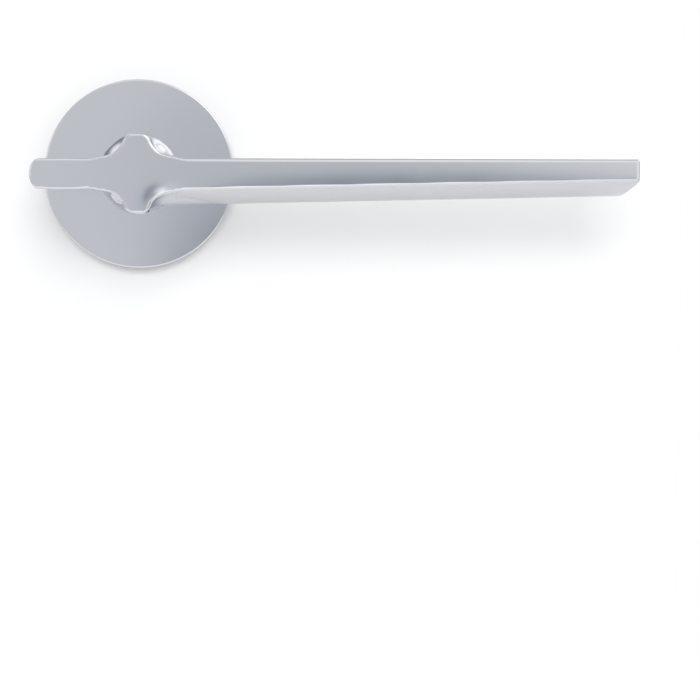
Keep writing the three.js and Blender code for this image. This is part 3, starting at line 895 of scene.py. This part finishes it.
make_spindle()
make_driver()
make_circlip()
make_wave_washer()
make_ring("sliding_washer", "thrust_washer", "lever", "nylon", NYLON, (FREE_FIT, SLIDING_RADIUS))
for side, x in (("right", BOLT_X), ("left", -BOLT_X)):
    names = ("flat_washer_" + side, "bolt_washer_" + side)
    make_ring(*names, "rose", "zinc_plated_steel", PLATED, WASHER_RADII, x, facets=64)

# ---------------- inside the rose

BASE_RADIUS = corner("base_plate", 1)[0]
BASE_TOP = corner("base_plate", 0)[1]
BASE_FLOOR = -1.8
BASE_WALL_INNER = 21.6
BASE_HOLE = 11.0
SNAP_GROOVE = (-4.4, -3.2)
SNAP_RADIUS = 23.8
BOSS_RADIUS = 3.5
BOSS_TOP = -3.5
POST_RADIUS = 3.0
POST_TOP = -6.0
SPRING_X = 13.1
SPRING_Y = -4.05
SPRING_RADIUS = 1.65
WIRE_RADIUS = 0.35
SPRING_ENDS = (3.2, 14.1)
SPRING_TURNS = 6
SEAT_DEPTH = 2.6
STOP_GAP = 0.25
STOP_WIDTH = 2.4
ROOT = 0.5  # how far what stands on the floor reaches into it
HEAD_ROOM_RADIUS = 4.2
BOLT_HOLE_RADIUS = 2.3
POST_HOLE_RADIUS = 1.55
POST_HOLE_END = -2.1
EJECTOR_PLACE = 12.2  # x and z of an ejector pin's mark
EJECTOR_RADIUS = 1.6
EJECTOR_DEPTH = 0.15
PLATE_HOLE = 9.5
HEAD_NOTCH = 4.6
SNAP_HALF_OPENING = 7.0
SNAP_INSET = 0.15  # between the ring and the sides of its groove
PLATE_Y = depths("cassette_plate")
PLATE_RADIUS = corner("cassette_plate", 1)[0]


def turned_place(x, z, angle):
    """Where a place is for someone turned by the angle about the Y axis."""
    return x * math.cos(angle) - z * math.sin(angle), x * math.sin(angle) + z * math.cos(angle)


def stop_field(x, y, z, angle, side):
    """A stop beside one arm of the driver."""
    along, across = turned_place(x, z, angle)
    near = DRIVER_ARM_HALF + STOP_GAP
    length = slab(along, BASE_HOLE, DRIVER_REACH)
    width = slab(side * across, near, near + STOP_WIDTH)
    return np.maximum.reduce([length, width, slab(y, DRIVER_Y[0] - GAP, BASE_FLOOR + ROOT)])


def base_half(x, y, z):
    """What stands on the floor in one half: a bolt boss, a screw post, a spring seat and two stops."""
    root = BASE_FLOOR + ROOT
    boss = disc_field(x, y, z, BOSS_RADIUS, (BOSS_TOP, root), (BOLT_X, 0.0))
    post = disc_field(x, y, z, POST_RADIUS, (POST_TOP, root), (0.0, SCREW_Z))
    half = SPRING_RADIUS + WIRE_RADIUS
    face = SPRING_ENDS[1] + WIRE_RADIUS + GAP
    seat_low = (SPRING_X - half, SPRING_Y - half, -face - SEAT_DEPTH)
    seat = box_field(x, y, z, seat_low, (SPRING_X + half, root, -face))
    stops = np.minimum(stop_field(x, y, z, 0.0, 1), stop_field(x, y, z, -math.pi / 4, -1))
    return np.minimum(np.minimum(boss, post), np.minimum(seat, stops))


def base_field(x, y, z):
    """The die casting that is bolted to the door: a floor and a wall, with what stands on the floor."""
    wall_fillet = 0.5
    floor_fillet = 0.3
    edge = 0.25
    hole_edge = 0.2
    halves = ((x, z), (-x, -z))  # alike but for half a turn
    from_axis = np.hypot(x, z)
    rim = from_axis - BASE_RADIUS
    ends = slab(y, BASE_TOP, 0.0)
    floor_or_wall = round_or(wall_fillet, BASE_FLOOR - y, BASE_WALL_INNER - from_axis)
    shell = np.maximum.reduce([floor_or_wall, rim, ends])
    for px, pz in halves:
        head_room = disc_field(px, y, pz, HEAD_ROOM_RADIUS, (BASE_TOP - 1.0, BOSS_TOP), (BOLT_X, 0.0))
        shell = np.maximum(shell, -head_room)
    for px, pz in halves:
        shell = round_or(floor_fillet, shell, base_half(px, y, pz))
    groove = np.maximum(SNAP_RADIUS - from_axis, slab(y, *SNAP_GROOVE))
    casting = round_and(edge, shell, rim, ends, -groove, BASE_HOLE - from_axis)
    for px, pz in halves:
        bolt_hole = np.hypot(px - BOLT_X, pz) - BOLT_HOLE_RADIUS
        post_hole = np.maximum(np.hypot(px, pz - SCREW_Z) - POST_HOLE_RADIUS, y - POST_HOLE_END)
        mark = np.hypot(px - EJECTOR_PLACE, pz - EJECTOR_PLACE) - EJECTOR_RADIUS
        ejector = np.maximum(mark, -EJECTOR_DEPTH - y)
        casting = round_and(hole_edge, casting, -bolt_hole, -post_hole, -ejector)
    return casting


def make_base_plate():
    step = 0.34
    across = span(-BASE_RADIUS, BASE_RADIUS, step)
    grid = (across, span(BASE_TOP, 0.0, step=0.25, margin=0.4), across)
    piece = net_piece("cast_base", base_field, grid, ZINC)
    finish_piece(piece, "rose", "base_plate")


def cassette_field(x, y, z):
    """A stamped plate, notched round the bolt heads and countersunk for its two screws."""
    notch_corner = 0.4
    cone_cosine = 0.75
    edge = 0.12
    plate = slab(np.hypot(x, z), PLATE_HOLE, PLATE_RADIUS)
    for side in (-1, 1):
        plate = round_and(notch_corner, plate, HEAD_NOTCH - np.hypot(x - side * BOLT_X, z))
        sink = SCREW_HEAD_RADIUS + GAP - (y - PLATE_Y[0])
        radius = np.maximum(sink, SCREW_RADIUS + GAP)
        plate = np.maximum(plate, (radius - np.hypot(x, z - side * SCREW_Z)) * cone_cosine)
    return round_and(edge, plate, slab(y, *PLATE_Y))


def make_cassette_plate():
    across = span(-PLATE_RADIUS, PLATE_RADIUS, step=0.34)
    grid = (across, span(*PLATE_Y, step=0.16, margin=THIN_MARGIN), across)
    piece = net_piece("stamped_cassette", cassette_field, grid, PLATED)
    finish_piece(piece, "rose", "cassette_plate")


def make_bush():
    """A flanged bush with rounded mouths."""
    running_fit = 0.08
    bore = SPIGOT_RADIUS + running_fit
    front, rear = depths("bearing_bush")
    outer = 9.2
    flange = corner("bearing_bush", 1)[0]
    flange_front = -6.0
    edge = 0.15
    profile = [
        line((bore, rear - edge), (bore, front + edge)),
        arc((bore + edge, front + edge), edge, 180, 270),
        line((bore + edge, front), (outer - edge, front)),
        arc((outer - edge, front + edge), edge, -90, 0),
        line((outer, front + edge), (outer, flange_front)),
        line((outer, flange_front), (flange - edge, flange_front)),
        arc((flange - edge, flange_front + edge), edge, -90, 0),
        line((flange, flange_front + edge), (flange, rear - edge)),
        arc((flange - edge, rear - edge), edge, 0, 90),
        line((flange - edge, rear), (bore + edge, rear)),
        arc((bore + edge, rear - edge), edge, 90, 180),
    ]
    points, faces, normals = lathe(profile, facets=128)
    piece = new_piece("flanged_bush", points, faces, NYLON, face_normals=normals)
    finish_piece(piece, "rose", "bearing_bush")


def snap_ring_field(x, y, z):
    """An open flat ring."""
    edge = 0.1
    band = slab(np.hypot(x, z), SNAP_RADIUS + GAP, BASE_RADIUS)
    faces = slab(y, SNAP_GROOVE[0] + SNAP_INSET, SNAP_GROOVE[1] - SNAP_INSET)
    opening = np.maximum(np.abs(x) - SNAP_HALF_OPENING, z)
    return round_and(edge, band, faces, -opening)


def make_snap_ring():
    across = span(-BASE_RADIUS, BASE_RADIUS, step=0.2)
    grid = (across, span(*SNAP_GROOVE, step=0.15, margin=0.2), across)
    piece = net_piece("open_snap_ring", snap_ring_field, grid, SPRING)
    finish_piece(piece, "rose", "cover_snap_ring")


def wire_along(path, radius, sides=12):
    """A round wire along a path, with its ends closed."""
    path = np.array(path)
    heading = np.gradient(path, axis=0)
    heading /= np.linalg.norm(heading, axis=1)[:, None]
    points = []
    for place, forward in zip(path, heading):
        outward = np.array((place[0], place[1], 0.0))
        outward -= forward * outward.dot(forward)
        outward /= np.linalg.norm(outward)
        sideways = np.cross(forward, outward)
        for i in range(sides):
            angle = 2 * math.pi * i / sides
            points.append(place + radius * (math.cos(angle) * outward + math.sin(angle) * sideways))
    faces = [tuple(reversed(range(sides)))]
    for row in range(len(path) - 1):
        for i in range(sides):
            j = (i + 1) % sides
            a = row * sides
            b = a + sides
            faces.append((a + i, a + j, b + j, b + i))
    last = (len(path) - 1) * sides
    faces.append(tuple(range(last, last + sides)))
    return np.array(points), faces


def make_springs():
    """Two compression springs: one under the driver's right arm and one over its left arm."""
    steps_per_turn = 40
    near, far = SPRING_ENDS
    count = SPRING_TURNS * steps_per_turn
    for side, turn in (("right", 1), ("left", -1)):
        path = []
        for i in range(count + 1):
            share = i / count
            angle = 2 * math.pi * SPRING_TURNS * share
            height = far + (near - far) * share
            path.append((SPRING_RADIUS * math.cos(angle), SPRING_RADIUS * math.sin(angle), -height))
        points, faces = wire_along(path, WIRE_RADIUS)
        points = (points + np.array((SPRING_X, SPRING_Y, 0.0))) * np.array((turn, 1, turn))
        piece = new_piece("coil_spring_" + side, points, faces, SPRING)
        node = "return_spring_" + side
        finish_piece(piece, "rose", node)
        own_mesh(piece)


make_base_plate()
make_cassette_plate()
make_bush()
make_snap_ring()
make_springs()

# ---------------- stage, light and camera

def flat_stage(name, corners, faces, paint):
    """A flat sheet that is part of the studio."""
    mesh = bpy.data.meshes.new(name)
    mesh.from_pydata(corners, [], faces)
    mesh.materials.append(paint)
    sheet = bpy.data.objects.new(name, mesh)
    bpy.context.scene.collection.objects.link(sheet)


def choose(tree, test, usual, other, output):
    """Feeds an output node with the usual shader, and with the other one where the test is 1."""
    choice = tree.nodes.new("ShaderNodeMixShader")
    tree.links.new(test, choice.inputs["Fac"])
    tree.links.new(usual, choice.inputs[1])
    tree.links.new(other, choice.inputs[2])
    tree.links.new(choice.outputs["Shader"], tree.nodes[output].inputs["Surface"])


def one_sided_paint(name, white):
    """Matt paint on the front of a sheet. Seen from its back the sheet is clear and hides nothing."""
    paint = Surface(name, (white, white, white), 0.0, 0.9)
    clear = paint.tree.nodes.new("ShaderNodeBsdfTransparent").outputs["BSDF"]
    behind = paint.tree.nodes.new("ShaderNodeNewGeometry").outputs["Backfacing"]
    choose(paint.tree, behind, paint.shader.outputs["BSDF"], clear, "Material Output")
    return paint.material


def studio_wall():
    """A white panel just behind the plane of the door's face, open behind the rose."""
    left, right, bottom, top = -0.1, 0.155, -0.2, 0.066
    back = 0.0001
    facets = 96
    hole = (ROSE_RADIUS - 0.5) * MM
    angles = [2 * math.pi * i / facets for i in range(facets)]
    angles += [math.atan2(z, x) % (2 * math.pi) for x in (left, right) for z in (bottom, top)]
    angles.sort()
    corners = []
    for angle in angles:
        x, z = math.cos(angle), math.sin(angle)
        sideways = (right if x > 0 else -left) / max(abs(x), 1e-6)
        upright = (top if z > 0 else -bottom) / max(abs(z), 1e-6)
        reach = min(sideways, upright)
        corners += [(hole * x, back, hole * z), (reach * x, back, reach * z)]
    count = len(angles)
    faces = [(2 * i, 2 * i + 1, 2 * ((i + 1) % count) + 1, 2 * ((i + 1) % count)) for i in range(count)]
    flat_stage("wall", corners, faces, one_sided_paint("wall_paint", white=0.57))


def studio_floor():
    """A plain pale floor, well under the handle."""
    left, right, front, back = -0.3, 0.4, -0.42, 0.0
    height = -0.2
    corners = [(left, front, height), (right, front, height), (right, back, height), (left, back, height)]
    flat_stage("floor", corners, [(0, 1, 2, 3)], one_sided_paint("floor_paint", white=0.75))


class Sky:
    """The studio round the handle: a pale tent with dimmer and brighter patches in it."""

    def __init__(self, tent):
        self.world = bpy.data.worlds.new("studio")
        bpy.context.scene.world = self.world
        self.world.use_nodes = True
        self.tree = self.world.node_tree
        self.direction = self.tree.nodes.new("ShaderNodeTexCoord").outputs["Generated"]
        start = self.tree.nodes.new("ShaderNodeCombineXYZ")
        for channel, value in enumerate(tent):
            start.inputs[channel].default_value = value
        self.total = start.outputs["Vector"]

    def patch(self, towards, change, core_degrees, edge_degrees):
        """Adds change, a colour, within core_degrees of a direction; it fades out by edge_degrees."""
        dot = self.tree.nodes.new("ShaderNodeVectorMath")
        dot.operation = "DOT_PRODUCT"
        dot.inputs[1].default_value = Vector(towards).normalized()
        self.tree.links.new(self.direction, dot.inputs[0])
        fade = self.tree.nodes.new("ShaderNodeMapRange")
        fade.interpolation_type = "SMOOTHSTEP"
        fade.inputs["From Min"].default_value = math.cos(math.radians(edge_degrees))
        fade.inputs["From Max"].default_value = math.cos(math.radians(core_degrees))
        self.tree.links.new(dot.outputs["Value"], fade.inputs["Value"])
        add = self.tree.nodes.new("ShaderNodeVectorMath")
        add.operation = "MULTIPLY_ADD"
        self.tree.links.new(fade.outputs["Result"], add.inputs[0])
        add.inputs[1].default_value = change
        self.tree.links.new(self.total, add.inputs[2])
        self.total = add.outputs["Vector"]

    def finish(self, seen):
        """Lights the scene with the patches; the camera itself sees only a plain pale ground."""
        light = self.tree.nodes["Background"]
        self.tree.links.new(self.total, light.inputs["Color"])
        ground = self.tree.nodes.new("ShaderNodeBackground")
        ground.inputs["Color"].default_value = (seen, seen, seen, 1.0)
        to_camera = self.tree.nodes.new("ShaderNodeLightPath").outputs["Is Camera Ray"]
        shaders = (light.outputs["Background"], ground.outputs["Background"])
        choose(self.tree, to_camera, *shaders, "World Output")


def studio_light():
    """Sets the tent's patches, and the key light in front and above, which throws the soft shadows.

    A patch is placed by the way to it: +X is to the handle's right, -Y in front of it and +Z above it.
    """
    sky = Sky((1.12, 1.12, 1.12))
    sky.patch((0.0, -1.0, 0.0), (-0.32, -0.305, -0.28), 5, 22)
    sky.patch((0.085, -1.0, 0.0), (-0.12, -0.115, -0.105), 0, 8)
    sky.patch((0.15, -1.0, -0.16), (-0.38, -0.365, -0.335), 2, 11)
    sky.patch((0.05, -0.95, -0.35), (0.42, 0.42, 0.42), 4, 13)
    sky.patch((0.1, 0.32, 1.0), (-0.56, -0.54, -0.5), 4, 36)
    sky.patch((1.0, -1.0, 0.6), (-0.4, -0.38, -0.34), 6, 20)
    sky.patch((1.0, 0.0, 0.05), (-0.45, -0.42, -0.38), 8, 24)
    sky.patch((-1.0, 1.0, 0.37), (-0.45, -0.42, -0.38), 8, 30)
    sky.patch((0.78, -0.2, 0.6), (0.8, 0.8, 0.8), 8, 32)
    sky.patch((-0.73, 0.0, 0.68), (0.1, 0.1, 0.1), 6, 26)
    sky.patch((0.6, -0.5, 0.62), (0.6, 0.6, 0.6), 8, 26)
    sky.patch((0.7, 0.45, 0.65), (0.5, 0.5, 0.5), 4, 22)
    sky.patch((-0.7, 0.45, 0.65), (-0.6, -0.58, -0.54), 6, 22)
    sky.patch((-0.55, -0.6, 0.58), (-0.6, -0.58, -0.54), 8, 28)
    sky.patch((-0.5, -0.7, -0.5), (-0.35, -0.33, -0.3), 10, 38)
    sky.patch((1.0, -0.9, -0.8), (-0.7, -0.68, -0.63), 8, 28)
    sky.patch((-0.9, 0.0, -0.42), (-0.5, -0.47, -0.43), 8, 28)
    sky.patch((0.8, 0.0, -0.6), (-0.35, -0.33, -0.3), 8, 28)
    sky.finish(seen=1.0)
    key = bpy.data.lights.new("key", "AREA")
    key.shape = "DISK"
    key.size = 0.5
    key.energy = 14.2
    lamp = bpy.data.objects.new("key", key)
    lamp.location = (-0.04, -1.25, 0.25)
    lamp.rotation_euler = (-lamp.location).to_track_quat("-Z", "Y").to_euler()
    lamp.visible_camera = False
    lamp.visible_glossy = False
    bpy.context.scene.collection.objects.link(lamp)


def camera():
    """Square to the handle's front, close to the neck's axis, aimed to the right and down."""
    lens = bpy.data.cameras.new("camera")
    lens.lens = 99.6
    lens.sensor_width = 36.0
    eye = bpy.data.objects.new("camera", lens)
    eye.location = (0.0062, -0.549, -0.0018)
    yaw = math.radians(5.52)
    pitch = math.radians(-5.0)
    eye.rotation_euler = (math.pi / 2 + pitch, 0.0, -yaw)
    bpy.context.scene.collection.objects.link(eye)
    bpy.context.scene.camera = eye


studio_wall()
studio_floor()
studio_light()
camera()
bpy.context.scene.view_settings.view_transform = "Standard"
